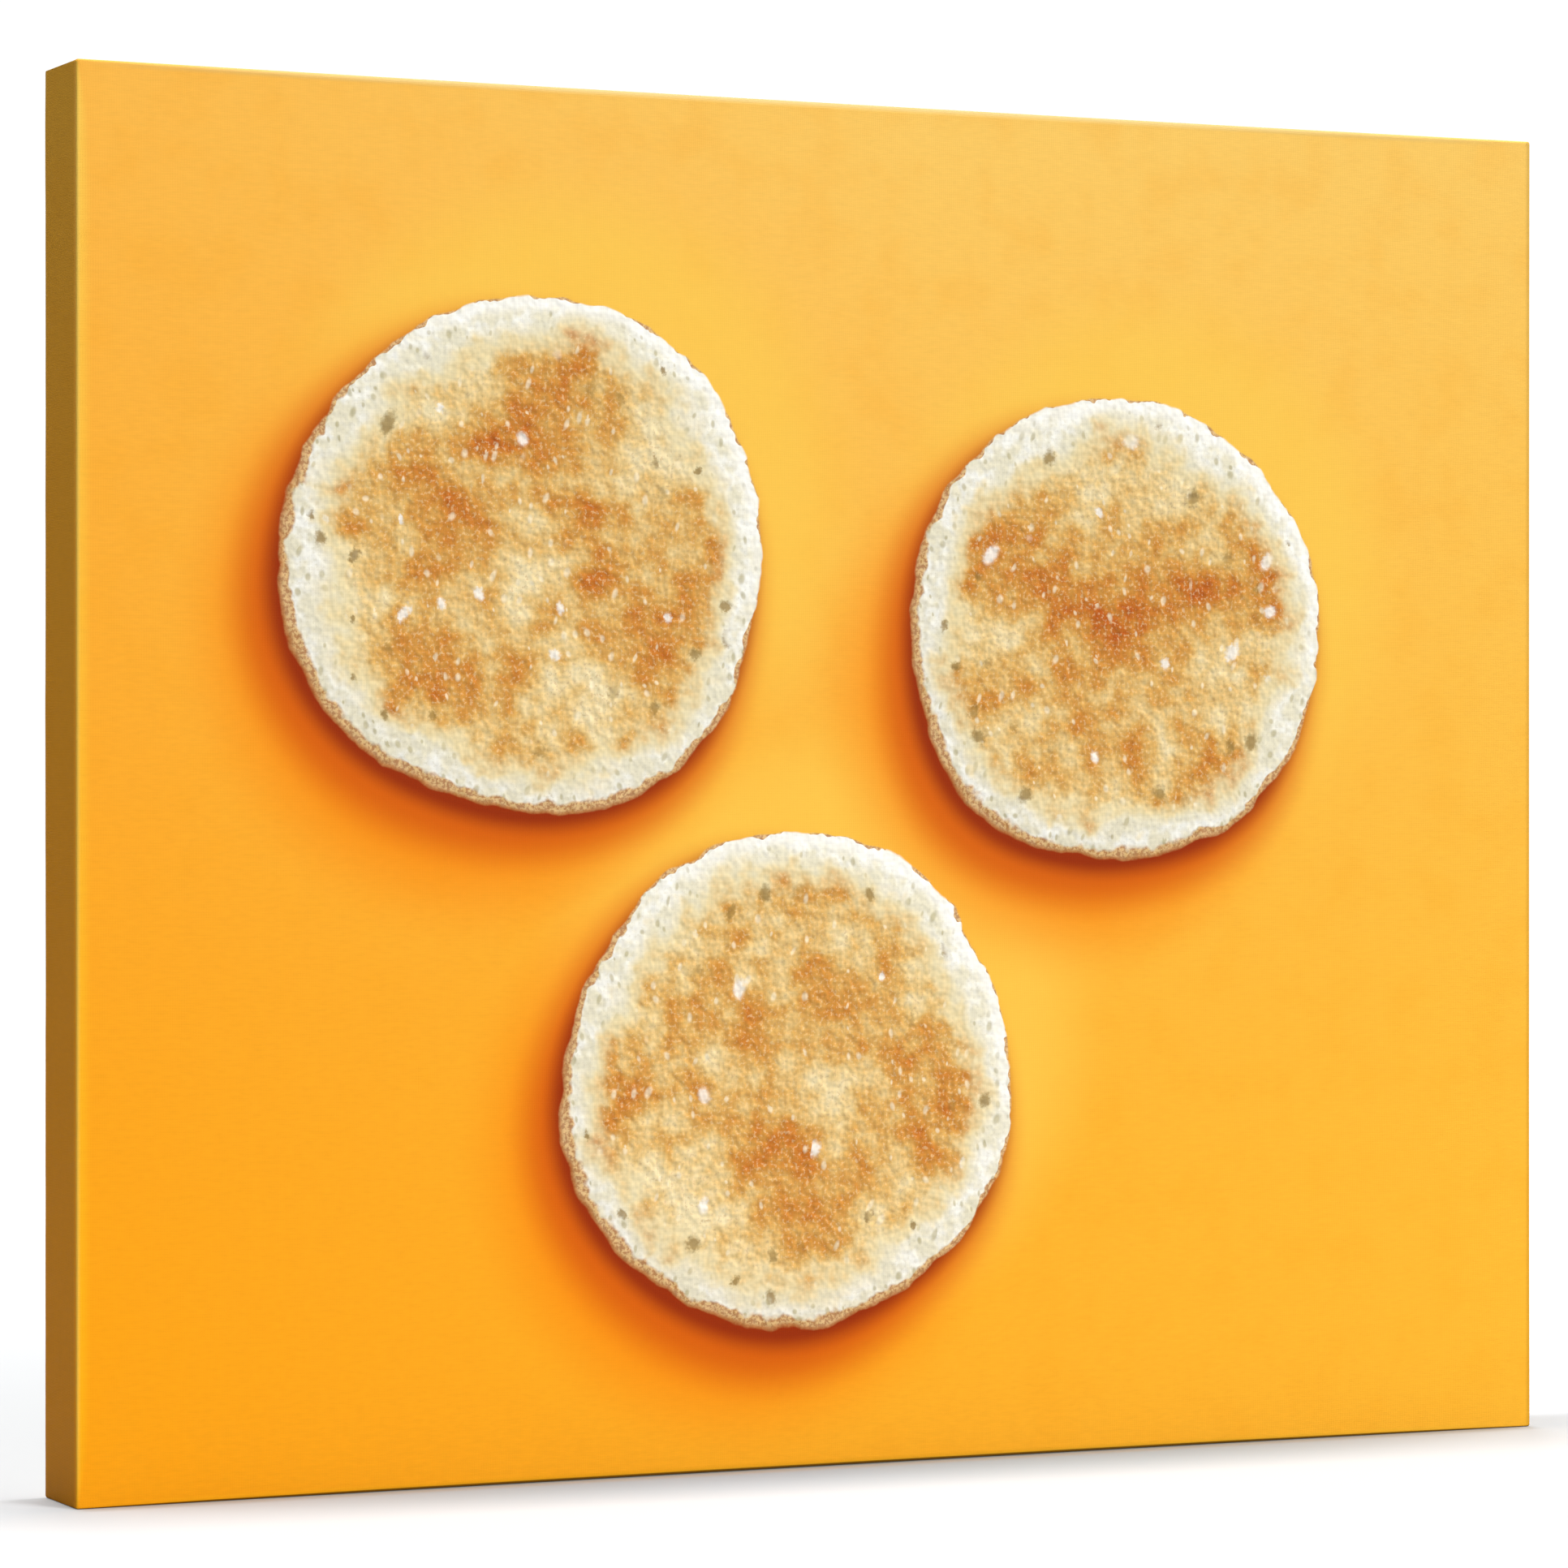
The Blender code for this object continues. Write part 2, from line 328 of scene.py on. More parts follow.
def wrap_profile(position, widest):
    """Rows of (outward from the flat of the face, back from the face) down the wrap.

    The front edge is a quarter circle whose radius grows from 0.9 mm at a corner to the
    widest at the middle of a side, where the cloth is pulled least sharply.
    """
    level = np.zeros_like(position)
    radius = CORNER_RADIUS + (widest - CORNER_RADIUS) * (1 - np.abs(position) ** 2.5)
    flat = RIM - radius
    rows = [(level, level), (flat * 0.6, level)]
    for angle in np.radians([0, 18, 36, 54, 72, 90]):
        rows.append((flat + radius * np.sin(angle), radius * (1 - np.cos(angle))))
    for share in (0.06, 0.14, 0.24, 0.36, 0.48, 0.6, 0.72, 0.84, 0.93):
        rows.append((level + RIM, radius + (DEPTH - BACK_RADIUS - radius) * share))
    for angle in np.radians([0, 30, 60, 90]):
        inward = BACK_RADIUS * (1 - np.cos(angle))
        rows.append((level + RIM - inward, level + DEPTH - BACK_RADIUS * (1 - np.sin(angle))))
    end = TURNED_OVER - CUT_WANDER * (1 + waves(position * 0.3, 5, 6, 0.12))
    for share in (0.05, 0.12, 0.2, 0.28, 0.36, 0.44, 0.5, 0.56, 0.64, 0.74, 0.84, 0.93, 1.0):
        rows.append((RIM - BACK_RADIUS - (end - BACK_RADIUS) * share, level + DEPTH))
    return rows


columns = np.linspace(-half_w, half_w, COLUMNS)
rows_up = np.linspace(-half_h, half_h, ROWS_UP)
base, side_normal, normal, slide = round_the_face(columns, rows_up)
on_level = np.abs(side_normal[:, 1]) > 0.5
metres_along = np.where(on_level, base[:, 0], base[:, 1])
profile = wrap_profile(
    metres_along / np.where(on_level, half_w, half_h),
    np.where(on_level, LEVEL_EDGE_RADIUS, UPRIGHT_EDGE_RADIUS),
)

crown_names = sorted(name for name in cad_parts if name.startswith("staple_"))
crown_boxes = np.array([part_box(name) for name in crown_names])
crown_middles = crown_boxes.mean(axis=1)[:, [0, 2]] - (0, MIDDLE_Z)
crown_level = np.array([name.split("_")[1] in ("top", "bottom") for name in crown_names])


def pinched(x, z):
    """How far the cloth dips under each staple, with small tucks drawn in towards it.

    The dip is exp(-(run/6.5 mm)^4 - (reach/2.2 mm)^2), where run goes along the staple and
    reach across it; the tucks are cosines of the run that fade out at about 12 mm.
    """
    depth = np.zeros_like(x)
    for (cx, cz), level in zip(crown_middles, crown_level):
        run, reach = (x - cx, z - cz) if level else (z - cz, x - cx)
        depth += STAPLE_DIP * np.exp(-((run / 0.0065) ** 4) - (reach / 0.0022) ** 2)
        tuck = np.exp(-((run / 0.012) ** 2) - (reach / 0.011) ** 2)
        clear_of_wire = 1 - np.exp(-((reach / 0.003) ** 2))
        depth -= TUCK_HEIGHT * tuck * np.cos(run / 0.0042) * clear_of_wire
    return depth


def shaped_by_hand(flat, back, out):
    """How far the cloth stands out from its side, and how far back from the bars.

    The top and bottom sides carry the corner folds: hidden layers under a triangle that
    starts at the front corner and widens at 45 degrees towards the back. On the back
    their layers make a raised patch along the mitre.
    """
    to_corner = WIDTH / 2 - np.abs(flat[:, 0])
    along_side = HEIGHT / 2 - np.abs(flat[:, 1])
    in_fold = even_curve(back * 0.96 - to_corner, -0.0003, 0.0016)
    fold_edge = even_curve(to_corner, 0.0013, 0.0021)
    on_side = even_curve(back, 0.0004, 0.004) * even_curve(out, 0.0, RIM)
    tucked = even_curve(to_corner, 0.0, 0.0012) * TUCKED_IN
    pull = SIDE_PULL * waves(metres_along, 3, 5, 0.2) * even_curve(back, 0.004, DEPTH)
    level = (in_fold * fold_edge * FOLD_RISE - tucked) * on_side + pull * (1 - in_fold)
    outward = np.where(on_level, level, pull * even_curve(along_side, 0.0, 0.02)) * (out >= 0)
    over = even_curve(-out, 0.0, 0.003)
    from_edge = RIM - out
    mitre = np.where(on_level, to_corner - from_edge, 1.0)
    layers = even_curve(mitre, 0.019, 0.013) * BACK_PATCH_RISE
    loose = even_curve(from_edge, 0.008, TURNED_OVER)
    ripple = BACK_RIPPLE * waves(metres_along, 9, 6, 0.09) * loose
    rearward = (layers + ripple - BACK_PRESSED - pinched(flat[:, 0], flat[:, 1])) * over
    return outward, rearward


def carried(rows):
    """Each profile row carried round the rim: points (x, y, z) and flat cloth places.

    In front of the back edge a point moves out along its strip's normal. Past it the rim
    shrinks towards the middle, which mitres the turned-over cloth at the corners.
    """
    places, cloth = [], []
    unfolded = np.zeros(len(base))
    last = rows[0]
    for out, back in rows:
        ahead = np.clip(out, 0, None)
        rounded = np.minimum(ahead, CORNER_RADIUS)
        flat = base + (slide + side_normal) * (ahead - rounded)[:, None] + normal * rounded[:, None]
        flat = flat + base * np.minimum(out, 0)[:, None] / (half_w, half_h)
        unfolded = unfolded + np.hypot(out - last[0], back - last[1])
        last = (out, back)
        stretched_out = base + side_normal * unfolded[:, None]
        cloth.append(np.where(np.column_stack([on_level, ~on_level]), flat, stretched_out))
        outward, rearward = shaped_by_hand(flat, back, out)
        flat = flat + side_normal * outward[:, None]
        places.append(np.column_stack([flat[:, 0], back + rearward, flat[:, 1]]))
    return np.array(places), np.array(cloth)


def face_grid():
    """The face inside the rim: x and z on a grid, with a slack of 0.2 mm in the middle.

    The slack is (1 - u^4)(1 - v^4), with u and v from -1 to 1, and faint long waves.
    """
    x, z = np.meshgrid(columns, rows_up)
    middle = (1 - (x / half_w) ** 4) * (1 - (z / half_h) ** 4)
    slack = FACE_SLACK * middle + FACE_WAVES * middle * waves(x + 0.4 * z, 21, 4, 0.35)
    return np.stack([x, slack, z], axis=-1)


def quads(numbers):
    """The faces between neighbouring rows and columns of a grid of point numbers."""
    corners = [numbers[:-1, :-1], numbers[:-1, 1:], numbers[1:, 1:], numbers[1:, :-1]]
    return np.stack(corners, axis=-1).reshape(-1, 4)


def make_piece(name, points, faces):
    mesh = bpy.data.meshes.new(name)
    mesh.from_pydata(points.tolist(), [], faces)
    mesh.shade_smooth()
    piece = bpy.data.objects.new(name, mesh)
    bpy.context.scene.collection.objects.link(piece)
    return piece


wrap_points, wrap_cloth = carried(profile)
face_points = face_grid()
face_numbers = np.arange(COLUMNS * ROWS_UP).reshape(ROWS_UP, COLUMNS)
wrap_numbers = face_numbers.size + np.arange(len(profile) * len(base)).reshape(len(profile), -1)
closed_ring = np.hstack([wrap_numbers, wrap_numbers[:, :1]])
canvas = make_piece(
    "canvas_cloth",
    np.vstack([face_points.reshape(-1, 3), wrap_points.reshape(-1, 3)]) + (0, FACE_Y, MIDDLE_Z),
    np.vstack([quads(face_numbers), quads(closed_ring)[:, ::-1]]).tolist(),
)
canvas.data.set_sharp_from_angle(angle=math.radians(38))

# The map "cloth" holds each point's place on the cloth laid flat, in metres from the
# middle of the face, so the print and the weave run over the edges without a break.
cloth_places = np.vstack([face_points[..., [0, 2]].reshape(-1, 2), wrap_cloth.reshape(-1, 2)])
corner_points = np.empty(len(canvas.data.loops), int)
canvas.data.loops.foreach_get("vertex_index", corner_points)
canvas.data.uv_layers.new(name="cloth").data.foreach_set("uv", cloth_places[corner_points].ravel())
welded = canvas.modifiers.new("welded_rim", "WELD")
welded.merge_threshold = 0.00001
thickness = canvas.modifiers.new("cloth_thickness", "SOLIDIFY")
thickness.thickness = CLOTH_THICKNESS
thickness.offset = -1
thickness.material_offset = 1
thickness.material_offset_rim = 1

FACE_LIGHT = 1.15
VARNISH_SHEEN = 0.006
THREAD_PITCH = 0.00058
PRINTED_SLUB = 0.0006
BARE_SLUB = 0.0009
INK_BLEED = 0.0085
# Painted shade on the printed sides, per channel, blue darkened most.
SIDE_PAINTED_SHADE = (0.8, 0.8, 0.5)


def ink(red, green, blue):
    """Printed ink that looks like this colour in the light on the face, under varnish."""
    return tuple(max(c - VARNISH_SHEEN, 0.002) / FACE_LIGHT for c in seen(red, green, blue))


def weave(cloth, place, slub):
    """Plain weave: round threads each way, which pass over and under each other by turns.

    With s the product of the two sines of x and z, the height is half of
    |sin x|(1 + s) + |sin z|(1 - s).
    """
    wander = (cloth.noise(place, 70.0, 0.0) - 0.5) * slub
    x, z, _ = cloth.parts_of(place + wander * (1.0, 1.0, 0.0))
    warp = cloth.math("SINE", x * (math.pi / THREAD_PITCH))
    weft = cloth.math("SINE", z * (math.pi / THREAD_PITCH))
    turn = warp * weft * 0.5
    return cloth.math("ABSOLUTE", warp) * (turn + 0.5) + cloth.math("ABSOLUTE", weft) * (0.5 - turn)


# The picture is a plain one: three round toasted muffin halves on orange paper, in light
# from the upper right. Each has its centre, from the middle of the face, and its radius.
ROUNDS = [(-0.130, 0.084, 0.097), (0.116, 0.058, 0.090), (-0.024, -0.113, 0.094)]
LIGHT_STEP = (-0.0016, -0.0024)
LEFT_BAND = 0.0062
LOW_BAND = 0.0030
EDGE_HIGHLIGHT_BAND = 0.0018


def beside_rounds(print_, place, shift=(0.0, 0.0)):
    """The distance from a place to the nearest round's edge, less than 0 inside it."""
    gaps = []
    for x, z, radius in ROUNDS:
        sockets = {0: place, 1: (x + shift[0], z + shift[1], 0.0)}
        reach = print_.add("ShaderNodeVectorMath", {"operation": "DISTANCE"}, sockets, "Value")
        gaps.append(reach - radius)
    return print_.math("MINIMUM", print_.math("MINIMUM", gaps[0], gaps[1]), gaps[2])


def paper_ground(print_, place):
    """Orange paper: lighter towards the upper right, mottled, with fine level fibres."""
    x, z, _ = print_.parts_of(place)
    right = print_.rise(x, -WIDTH / 2, WIDTH / 2, "LINEAR")
    up = print_.rise(z, -HEIGHT / 2, HEIGHT / 2, "LINEAR") ** 1.9
    low = print_.blend(right, ink(251, 163, 26), ink(254, 186, 55))
    high = print_.blend(right * 1.8, ink(254, 188, 78), ink(254, 205, 103))
    ground = print_.blend(up, low, high)
    mottle = print_.noise(place, 40.0, 2.0, 0.6)
    fibre = print_.noise(place * (1.0, 4.5, 1.0), 150.0, 2.0, 0.65)
    ground = print_.blend(print_.rise(mottle, 0.40, 0.80) * 0.16, ground, ink(246, 164, 36))
    return print_.shade(ground, fibre * 0.10 + 0.95)


def cast_light(print_, place, lumps, ground):
    """The soft shadow of the rounds to their lower left, and the glow to the upper right."""
    glow = print_.rise(beside_rounds(print_, place, (0.015, 0.022)), 0.034, -0.010)
    ground = print_.blend(glow * 0.65, ground, ink(255, 206, 84))
    halo = print_.rise(beside_rounds(print_, place, (-0.018, -0.022)), 0.028, -0.014)
    ground = print_.blend(halo * 0.8, ground, ink(248, 138, 8))
    deep = print_.rise(beside_rounds(print_, place, (-0.008, -0.012)) + lumps, 0.016, -0.004)
    ground = print_.blend(deep * 0.8, ground, ink(208, 84, 2))
    contact = print_.rise(beside_rounds(print_, place, (-0.003, -0.005)) + lumps, 0.0055, -0.004)
    return print_.blend(contact * 0.85, ground, ink(138, 38, 2))


def scattered(finish, place, scale, size, rough=0.0):
    """Soft spots, one to a cell of a cell pattern, and each cell's own chance from 0 to 1.

    A spot's radius, in cells, is from four tenths of size up to size; rough moves its rim.
    """
    settings = {"voronoi_dimensions": "2D"}
    gap = finish.add("ShaderNodeTexVoronoi", settings, {"Vector": place, "Scale": scale}, "Distance")
    chance, width, _ = finish.parts_of(Thread(finish, gap.socket.node.outputs["Color"]))
    radius = width * (size * 0.6) + size * 0.4
    return finish.rise(gap + rough, radius, radius * 0.35), chance


def toasted_crumb(print_, place, edge, facing):
    """A toasted cut face: a crust, a floury white rim, then a browned, pored middle.

    edge is the distance to the round's edge, less than 0 inside it, and facing is 1 where
    that edge faces the picture's light and -1 where it faces away.
    """
    broad = print_.noise(place, 21.0, 3.0, 0.6)
    medium = print_.noise(place, 100.0, 2.0, 0.6)
    grain = print_.noise(place, 680.0, 2.0, 0.6)
    relief = print_.noise(place, 300.0, 1.0, 0.6)
    relief = relief - print_.noise(place + (0.0008, 0.0009, 0.0), 300.0, 1.0, 0.6)
    pulled = place + (print_.noise(place, 60.0, 0.0) - 0.5) * 0.006 * (1.0, 0.8, 0.0)
    small, small_chance = scattered(print_, pulled * (1.0, 0.65, 1.0), 215.0, 0.36)
    ragged_rim = grain * 0.16 - 0.08
    large, large_chance = scattered(print_, pulled * (1.0, 0.80, 1.0), 66.0, 0.25, ragged_rim)

    stops = [
        (0.30, ink(240, 222, 176)),
        (0.42, ink(232, 200, 136)),
        (0.51, ink(221, 173, 96)),
        (0.60, ink(210, 146, 66)),
        (0.70, ink(200, 118, 46)),
        (0.80, ink(182, 84, 32)),
    ]
    heat = broad * 0.85 + medium * 0.35 + grain * 0.16 - print_.rise(edge, -0.055, -0.012) * 0.06
    brown = print_.add("ShaderNodeValToRGB", {"stops": stops}, {0: heat - 0.150})
    brown = print_.blend(print_.rise(grain, 0.50, 0.72) * 0.42, brown, ink(248, 226, 172))
    brown = print_.blend(print_.rise(grain, 0.46, 0.28) * 0.34, brown, ink(176, 118, 56))
    brown = print_.blend(small * print_.rise(small_chance, 0.22, 0.18) * 0.6, brown, ink(250, 236, 204))
    brown = print_.blend(large * print_.rise(large_chance, 0.20, 0.16) * 0.85, brown, ink(250, 244, 234))

    rim = print_.blend(print_.rise(medium, 0.35, 0.65), ink(233, 226, 200), ink(248, 246, 236))
    rim = print_.blend(print_.rise(grain, 0.46, 0.30) * 0.22, rim, ink(198, 188, 152))
    rim = print_.blend(small * print_.rise(small_chance, 0.46, 0.52) * 0.6, rim, ink(176, 164, 118))
    depth_in = edge * -1.0 + (medium - 0.5) * 0.016 + (broad - 0.5) * 0.030
    inner = print_.rise(depth_in, 0.012, 0.026)
    top = print_.blend(print_.rise(depth_in, 0.007, 0.016), rim, ink(236, 219, 172))
    top = print_.blend(inner, top, brown)
    pores = large * print_.rise(large_chance, 0.60, 0.64) * print_.rise(depth_in, 0.046, 0.020)
    top = print_.blend(pores * print_.rise(depth_in, 0.005, 0.011) * 0.8, top, ink(150, 122, 68))

    lit = print_.rise(facing, 0.1, 0.9) * print_.rise(edge, -0.0075, -0.002)
    top = print_.blend(lit * 0.8, top, ink(253, 251, 244))
    crust_width = print_.rise(facing, 0.7, -0.9) * 0.0046 + 0.0002
    crust = print_.rise(edge + (medium - 0.5) * 0.007, crust_width * -1.1, crust_width * -0.7)
    crumbs = print_.blend(print_.rise(grain, 0.38, 0.62), ink(178, 120, 60), ink(224, 182, 118))
    top = print_.blend(crust * 0.9, top, crumbs)
    burnt = print_.rise(edge + (grain - 0.5) * 0.002, -0.0018, -0.0002)
    burnt = burnt * print_.rise(facing, 0.2, -0.8)
    top = print_.blend(burnt * 0.75, top, ink(176, 96, 40))
    slope = facing * print_.rise(edge, -0.022, 0.0) * 0.07
    return print_.shade(top, relief * (inner * 0.30 + 0.36) + slope + 1.0)


def lip_bands(print_, x, z, picture):
    """The bands where the cloth bends over the frame's lip, widest in mid-side.

    The left one and the low one are painted paler than the picture, a painted highlight on
    the rounded edge, with a thin painted highlight line at the very left; the right one is
    painted darker, a painted shade. A dark line under the low edge is painted shade. The
    crest is painted a duller cream, partly painted shade against the top light and partly a
    painted highlight tint, and the top side past it is painted darker, painted shade against
    the top light.
    """
    swell_up = print_.math("MAXIMUM", 1.0 - (z * (2 / HEIGHT)) ** 16, 0.0)
    swell_across = print_.math("MAXIMUM", 1.0 - (x * (2 / WIDTH)) ** 4, 0.0)
    # The left band and the low band are painted paler: a painted highlight on the rounded edge.
    from_left = x + WIDTH / 2
    left = print_.rise(from_left, swell_up * LEFT_BAND + 0.0002, 0.0)
    left = left * print_.rise(from_left, -0.0007, 0.0)
    from_low = z + HEIGHT / 2
    low = print_.rise(from_low, LOW_BAND, 0.0014) * swell_across
    paler = picture * (1.03, 1.25, 1.3)
    picture = print_.blend(print_.math("MAXIMUM", left, low * 0.5), picture, paler)
    # A thin paler line at the very left edge: a painted highlight.
    bent = print_.rise(from_left, EDGE_HIGHLIGHT_BAND, 0.0004) * print_.rise(from_left, -0.0007, 0.0)
    picture = print_.blend(bent * swell_up * 0.35, picture, ink(255, 224, 120))
    # A thin darker line along the right edge: painted shade.
    right = print_.rise(from_left, WIDTH - 0.0026, WIDTH - 0.0009)
    picture = print_.shade(picture, 1.0 - right * 0.24)
    # A dark line under the low edge, where the cloth turns under: painted shade.
    roll = swell_across * 0.0008 + 0.0003
    under = print_.rise(from_low, roll * 1.3, roll * 0.9) * print_.rise(from_low, -0.0050, -0.0020)
    picture = print_.blend(under * 0.75, picture, ink(92, 60, 8))
    # The crest gets a duller cream ink: partly painted shade against the top light, partly a painted
    # highlight tint.
    from_top = z - HEIGHT / 2
    crest = print_.rise(from_top, -0.0034, -0.0010) * print_.rise(from_top, 0.0030, 0.0010)
    picture = print_.blend(crest * swell_across * 0.9, picture, ink(204, 180, 120))
    # The top side, past the crest, is painted darker: painted shade against the top light.
    return print_.shade(picture, 1.0 - print_.rise(from_top, 0.0015, 0.0060) * 0.3)


def printed_side():
    """The printed, varnished side of the canvas, bare again past the print's end."""
    print_ = Finish("varnished_print", roughness=0.55, specular=0.045, dimensions="2D")
    place = print_.add("ShaderNodeUVMap", {"uv_map": "cloth"}, {})
    outline = beside_rounds(print_, place)
    facing = (beside_rounds(print_, place, LIGHT_STEP) - outline) * 340.0
    lumps = (print_.noise(place, 9.0, 0.0) - 0.5) * 0.012
    edge = outline + lumps + (print_.noise(place, 58.0, 2.0) - 0.5) * 0.0056
    x, z, _ = print_.parts_of(place)
    ground = cast_light(print_, place, lumps, paper_ground(print_, place))
    picture = lip_bands(print_, x, z, ground)
    past_x = print_.math("ABSOLUTE", x) - WIDTH / 2
    past_z = print_.math("ABSOLUTE", z) - HEIGHT / 2
    beyond = print_.math("MAXIMUM", past_x, past_z)
    # The printed sides are painted darker, blue most: painted shade on the sides, with blue cut further
    # to offset the varnish's white sheen there.
    on_sides = print_.rise(beyond, 0.0, 0.004)
    picture = print_.blend(on_sides, picture, picture * SIDE_PAINTED_SHADE)
    bare = print_.rise(beyond, DEPTH + INK_BLEED, DEPTH + INK_BLEED + 0.0005)
    threads = weave(print_, place, PRINTED_SLUB)
    shadow = threads * 0.07 + 0.955
    colour = print_.blend(bare, picture, seen(236, 232, 222))
    print_.give("Base Color", print_.shade(colour, shadow))
    print_.give("Roughness", threads * 0.10 + 0.50)
    print_.emboss(threads, 0.00011, 0.55)
    crumb = toasted_crumb(print_, place, edge, facing)
    print_.overlay(print_.rise(edge, 0.0005, -0.0005), print_.shade(crumb, shadow))
    return print_.material


def bare_side():
    """The unprinted side: off-white cotton, matt, with slubs and seed flecks."""
    cotton = Finish("bare_canvas", roughness=0.9, specular=0.2, dimensions="2D")
    place = cotton.add("ShaderNodeUVMap", {"uv_map": "cloth"}, {})
    threads = weave(cotton, place, BARE_SLUB)
    tone = cotton.noise(place, 9.0, 3.0)
    slubs = cotton.noise(place * (1.0, 14.0, 1.0), 60.0, 3.0)
    slubs = slubs + cotton.noise(place * (14.0, 1.0, 1.0), 60.0, 3.0)
    colour = cotton.blend(tone, seen(226, 218, 200), seen(238, 232, 218))
    flecks, chance = scattered(cotton, place, 210.0, 0.14)
    flecks = flecks * cotton.rise(chance, 0.06, 0.03)
    colour = cotton.blend(flecks * 0.6, colour, seen(150, 128, 92))
    # The weave is painted darker in its valleys, painted shade; the slubs make it lighter or darker in
    # streaks.
    cotton.give("Base Color", cotton.shade(colour, threads * 0.20 + slubs * 0.10 + 0.78))
    cotton.emboss(threads + slubs * 0.4, 0.00016, 0.8)
    return cotton.material


canvas.data.materials.append(printed_side())
canvas.data.materials.append(bare_side())
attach(canvas, "root")
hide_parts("canvas")

# The frayed ends: short cotton fibres left along the cloth's cut edge on the back, where
# shears went through the weave. They lie on the bars, a few of them curling up.

FIBRES = 460
FIBRE_RADIUS = 0.00008
FIBRE_SINKS = 0.00015


def carry(centre, side, up, section):
    """A closed section carried along paths: centre + side times its x + up times its y.

    The axes of the result are path, point along it, point round it, and x, y, z.
    """
    return centre[:, :, None] + side[:, :, None] * section[:, :, :1] + up[:, :, None] * section[:, :, 1:]


def tubes(name, points):
    """One mesh of capped tubes, from points by path, along it and round it.

    The points run counter-clockwise about the way the path goes.
    """
    paths, along, around, _ = points.shape
    numbers = np.arange(paths * along * around).reshape(paths, along, around)
    ring = np.concatenate([numbers, numbers[:, :, :1]], axis=2)
    corners = [ring[:, :-1, :-1], ring[:, :-1, 1:], ring[:, 1:, 1:], ring[:, 1:, :-1]]
    walls = np.stack(corners, axis=-1).reshape(-1, 4).tolist()
    caps = numbers[:, 0, ::-1].tolist() + numbers[:, -1].tolist()
    return make_piece(name, points.reshape(-1, 3), walls + caps)


def frayed_ends():
    """Fibres that leave the cut edge inwards: base + t L way + bend t^2 L across + lift.

    t goes from 0 to 1 along a fibre of length L; the lift is a low arch, t(1 - t).
    """
    draw = np.random.default_rng(31)
    pick = draw.integers(0, len(base), FIBRES)
    edge_point = wrap_points[-1][pick] + (0, FACE_Y - 0.0002, MIDDLE_Z)
    inward = -np.column_stack([side_normal[pick][:, 0], np.zeros(FIBRES), side_normal[pick][:, 1]])
    across = np.column_stack([-inward[:, 2], np.zeros(FIBRES), inward[:, 0]])
    edge_point = edge_point + across * draw.uniform(-0.002, 0.002, FIBRES)[:, None]
    lean = draw.normal(0, 0.55, FIBRES)[:, None]
    way = inward * np.cos(lean) + across * np.sin(lean)
    length = (0.0009 + 0.0042 * draw.random(FIBRES) ** 3)[:, None, None]
    bend = draw.normal(0, 0.45, FIBRES)[:, None, None]
    lift = (0.0001 + 0.0007 * draw.random(FIBRES) ** 2)[:, None]
    t = np.linspace(0, 1, 6)[None, :, None]
    centre = edge_point[:, None] + way[:, None] * t * length + across[:, None] * bend * t**2 * length
    centre[:, :, 1] += lift * (t * (1 - t))[..., 0] - FIBRE_SINKS * t[..., 0]
    heading = np.gradient(centre, axis=1)
    heading /= np.linalg.norm(heading, axis=2, keepdims=True)
    side = np.cross((0.0, 1.0, 0.0), heading)
    side /= np.linalg.norm(side, axis=2, keepdims=True)
    turn = np.radians(np.arange(90, 450, 72))
    round_ = np.column_stack([np.cos(turn), np.sin(turn)]) * FIBRE_RADIUS
    taper = np.linspace(1, 0.5, 6)[:, None, None]
    return tubes("frayed_ends", carry(centre, side, np.cross(heading, side), round_[None] * taper))


loose_cotton = Finish("loose_cotton", roughness=0.95, specular=0.1)
loose_cotton.give("Base Color", seen(252, 250, 244))
frayed = frayed_ends()
frayed.data.materials.append(loose_cotton.material)
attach(frayed, "root")

# The staples: flattened steel wire, driven by a staple gun through the turned-over cloth
# into the bars, so that only the crowns show. Each lies a degree or two off true.

WIRE_THICKNESS = 0.00056
WIRE_WIDTH = 0.00124
SHOULDER = 0.0009
LEG_SHOWN = 0.0005


def zinc(name, tone):
    """Zinc-plated steel: bright, slightly blue, with fine scratches and dull patches."""
    metal = Finish(name, roughness=0.32, metallic=1.0)
    place = metal.object_place()
    patch = metal.noise(place, 180.0, 3.0)
    scratch = metal.noise(place * (1.0, 1.0, 9.0), 1400.0, 3.0)
    metal.give("Base Color", metal.blend(patch, seen(*tone), seen(196, 199, 204)))
    metal.give("Roughness", patch * 0.25 + scratch * 0.15 + 0.12)
    metal.emboss(scratch, 0.00004, 0.5)
    return metal.material


